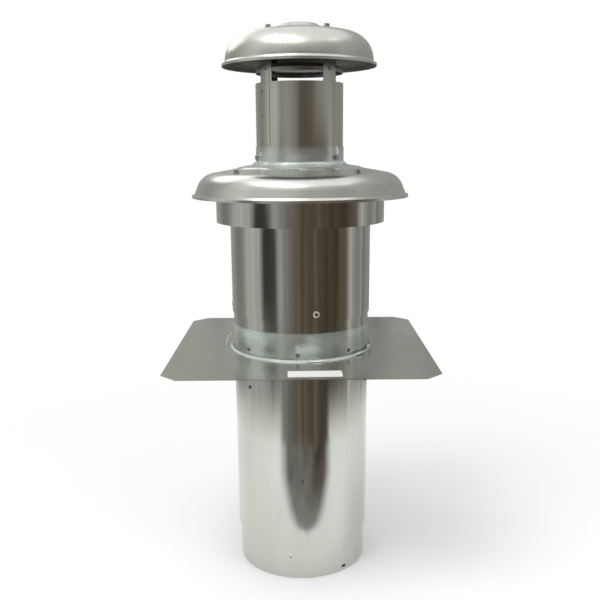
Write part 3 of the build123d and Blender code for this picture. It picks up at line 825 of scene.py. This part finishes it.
def upright_card(name, radius, first, last, foot, high, tones):
    """Glowing card or dark flag of cloth on the floor, soft at its ends, foot and top, and softer higher
    up.
    """
    build = bmesh.new()
    upright_band(build, radius, first, last, FLOOR_HEIGHT, high)
    card = piece_from(name, build)
    material, tree, shine = glow(name, tones[0], 1.0)
    tree.links.new(fold_shade_and_light(tree, *tones), shine.inputs["Color"])
    turn, _distance = bearing_of(tree)
    middle = (first + last) / 2
    half = (last - first) / 2
    inside = calculated(tree, "SUBTRACT", half, apart(tree, turn, middle))
    raised = height_zone(tree, CARD_SOFTENS_FROM, CARD_SOFTENS_TO)
    softness = spread(tree, raised, 0.0, 1.0, CARD_SOFT_LOW, CARD_SOFT_HIGH)
    across = spread(tree, calculated(tree, "DIVIDE", inside, softness), 0.0, 1.0, 0.0, 1.0)
    downward = calculated(tree, "SUBTRACT", 1.0, height_zone(tree, high - CARD_SOFT_TOP, high))
    upward = gradual(tree, FLOOR_HEIGHT, FLOOR_HEIGHT + foot)
    covered(material, combined(tree, across, combined(tree, upward, downward)))
    card.data.materials.append(material)
    hidden_from_all_but_reflections(card)
    return card


def tongue_material():
    """Dark strip that narrows to a soft round end near the casing."""
    material, tree, shine = glow("tongue", DARK_CLOTH[0], 1.0)
    turn, distance = bearing_of(tree)
    off = apart(tree, turn, TONGUE_BEARING)
    away = spread(tree, distance, TONGUE_NEAR, TONGUE_WIDE, 0.0, 1.0)
    half = combined(tree, calculated(tree, "POWER", away, TONGUE_SWELL), TONGUE_HALF)
    pale = spread(tree, distance, TONGUE_NEAR, TONGUE_PALE_TO, 0.7, 0.0)
    side = spread(tree, turn, TONGUE_DARKENS_FROM, TONGUE_DARKENS_TO, 0.0, 1.0)
    cloth = tinted(tree, side, fold_shade_and_light(tree, *SHADE_CLOTH), fold_shade_and_light(tree, *DARK_CLOTH))
    tree.links.new(tinted(tree, pale, cloth, TONGUE_TIP_TONE), shine.inputs["Color"])
    inside = calculated(tree, "SUBTRACT", half, off)
    covered(material, spread(tree, inside, TONGUE_EDGE_OUT, TONGUE_EDGE_IN, 0.0, 1.0))
    return material


def dark_tongue():
    """Strip on the floor from the front of the casing out to the wall, which the casing mirrors."""
    build = bmesh.new()
    height = FLOOR_HEIGHT + TONGUE_LIFT
    first = TONGUE_BEARING - TONGUE_SPREAD
    turns = [first + 2 * TONGUE_SPREAD * step / TONGUE_STEPS for step in range(TONGUE_STEPS + 1)]
    inner = [build.verts.new(polar(TONGUE_NEAR - TONGUE_OVERLAP, turn, height)) for turn in turns]
    outer = [build.verts.new(polar(TONGUE_FAR, turn, height)) for turn in turns]
    for here in range(TONGUE_STEPS):
        build.faces.new((inner[here], outer[here], outer[here + 1], inner[here + 1]))
    tongue = piece_from("stage_tongue", build)
    tongue.data.materials.append(tongue_material())
    hidden_from_all_but_reflections(tongue)
    return tongue


def high_card(name, centre, size_x, size_y, strength):
    """Bright card, overhead or at a side, that faces the spun caps and is mirrored by them."""
    build = bmesh.new()
    bmesh.ops.create_grid(build, x_segments=1, y_segments=1, size=0.5)
    card = piece_from(name, build)
    aim = (HIGH_CARD_AIM - Vector(centre)).to_track_quat("-Z", "Y")
    card.data.transform(Matrix.LocRotScale(Vector(centre), aim, Vector((size_x, size_y, 1))))
    card.data.materials.append(glow(name, CARD_WHITE, strength)[0])
    hidden_from_all_but_reflections(card)
    return card


def background_rays(tree):
    """1 for rays from the camera, from a mirror-like bounce or through glass, 0 for the rest."""
    path = tree.nodes.new("ShaderNodeLightPath")
    clear = calculated(tree, "MAXIMUM", path.outputs["Is Glossy Ray"], path.outputs["Is Transmission Ray"])
    return calculated(tree, "MAXIMUM", path.outputs["Is Camera Ray"], clear)


def floor():
    """Large pale floor that keeps the object's soft shadow and runs out into the white backdrop."""
    build = bmesh.new()
    bmesh.ops.create_grid(build, x_segments=8, y_segments=8, size=FLOOR_HALF)
    build.transform(Matrix.Translation((0, 0, FLOOR_HEIGHT - FLOOR_DROP)))
    piece = piece_from("stage_floor", build)
    material, tree, shader = new_material("floor", FLOOR_GREY, 0.0, 0.9)
    shader.inputs["Specular IOR Level"].default_value = 0.0
    output = next(node for node in tree.nodes if node.type == "OUTPUT_MATERIAL")
    backdrop = tree.nodes.new("ShaderNodeEmission")
    backdrop.inputs["Color"].default_value = (1, 1, 1, 1)
    backdrop.inputs["Strength"].default_value = 1.0
    _turn, distance = bearing_of(tree)
    far = spread(tree, distance, FLOOR_FADES_FROM, FLOOR_FADES_TO, 0.0, 1.0)
    choose = tree.nodes.new("ShaderNodeMixShader")
    tree.links.new(combined(tree, far, background_rays(tree)), choose.inputs[0])
    tree.links.new(shader.outputs[0], choose.inputs[1])
    tree.links.new(backdrop.outputs[0], choose.inputs[2])
    tree.links.new(choose.outputs[0], output.inputs[0])
    piece.data.materials.append(material)
    return piece


def soft_light(name, spot, target, size, power):
    """Square soft light that looks at a point."""
    data = bpy.data.lights.new(name, "AREA")
    data.shape = "SQUARE"
    data.size = size
    data.energy = power
    light = bpy.data.objects.new(name, data)
    light.location = spot
    light.rotation_mode = "QUATERNION"
    light.rotation_quaternion = (Vector(target) - Vector(spot)).to_track_quat("-Z", "Y")
    bpy.context.scene.collection.objects.link(light)
    return light


def white_world():
    """White background for the camera, and a softer one for the light it gives."""
    world = bpy.data.worlds.new("studio")
    bpy.context.scene.world = world
    world.use_nodes = True
    tree = world.node_tree
    tree.nodes.clear()
    output = tree.nodes.new("ShaderNodeOutputWorld")
    seen = tree.nodes.new("ShaderNodeBackground")
    seen.inputs["Color"].default_value = (1, 1, 1, 1)
    seen.inputs["Strength"].default_value = 1.0
    given = tree.nodes.new("ShaderNodeBackground")
    given.inputs["Color"].default_value = (*WORLD_TINT, 1)
    given.inputs["Strength"].default_value = WORLD_STRENGTH
    choose = tree.nodes.new("ShaderNodeMixShader")
    tree.links.new(background_rays(tree), choose.inputs[0])
    tree.links.new(given.outputs[0], choose.inputs[1])
    tree.links.new(seen.outputs[0], choose.inputs[2])
    tree.links.new(choose.outputs[0], output.inputs[0])


def photo_camera():
    """Camera where the photo was taken from: in front, between the heights of the two caps."""
    data = bpy.data.cameras.new("photo_camera")
    data.sensor_width = CAMERA_SENSOR
    data.lens = CAMERA_LENS
    data.shift_x = CAMERA_SHIFT_X
    data.shift_y = CAMERA_SHIFT_Y
    camera = bpy.data.objects.new("photo_camera", data)
    pitch = Matrix.Rotation(math.radians(90 - CAMERA_DOWNWARD), 4, "X")
    roll = Matrix.Rotation(math.radians(CAMERA_ROLL), 4, "Z")
    camera.matrix_world = Matrix.Translation(CAMERA_PLACE) @ pitch @ roll
    bpy.context.scene.collection.objects.link(camera)
    bpy.context.scene.camera = camera
    return camera


room_wall()
# Each card: radius, first and last bearing, height over which its foot fades in, top and cloth
upright_card("stage_card_left", CARD_RADIUS, -98, -46, 0.22, 1.0, PALE_CLOTH)
upright_card("stage_card_right", CARD_RADIUS, 68, 93, 0.20, 0.5, PALE_CLOTH)
upright_card("stage_flag_left", FLAG_RADIUS, -66, -32, 0.36, 0.34, BLACK_CLOTH)
upright_card("stage_flag_right", FLAG_RADIUS, 26, 82, 0.20, 0.42, DARK_CLOTH)
upright_card("stage_flag_front", FLAG_RADIUS, -16, 46, SHARP_FOOT, 0.62, DARK_CLOTH)
upright_card("stage_flag_low", LOW_FLAG_RADIUS, -36, 46, SHARP_FOOT, -0.02, SHADE_CLOTH)
dark_tongue()
floor()
white_world()
high_card("stage_ceiling", (-0.62, -1.0, 1.52), size_x=1.4, size_y=1.1, strength=3.3)
high_card("stage_window", (0.95, -0.35, 1.3), size_x=0.35, size_y=0.6, strength=1.6)
high_card("stage_side", (-0.42, 0.50, 0.64), size_x=0.6, size_y=0.6, strength=1.6)
soft_light("key", spot=(-0.9, -0.9, 2.0), target=(0, 0, 0.3), size=1.1, power=26)
soft_light("fill", spot=(1.5, -1.3, 1.3), target=(0, 0, 0.1), size=1.2, power=9)
photo_camera()
bpy.context.scene.view_settings.view_transform = "Standard"
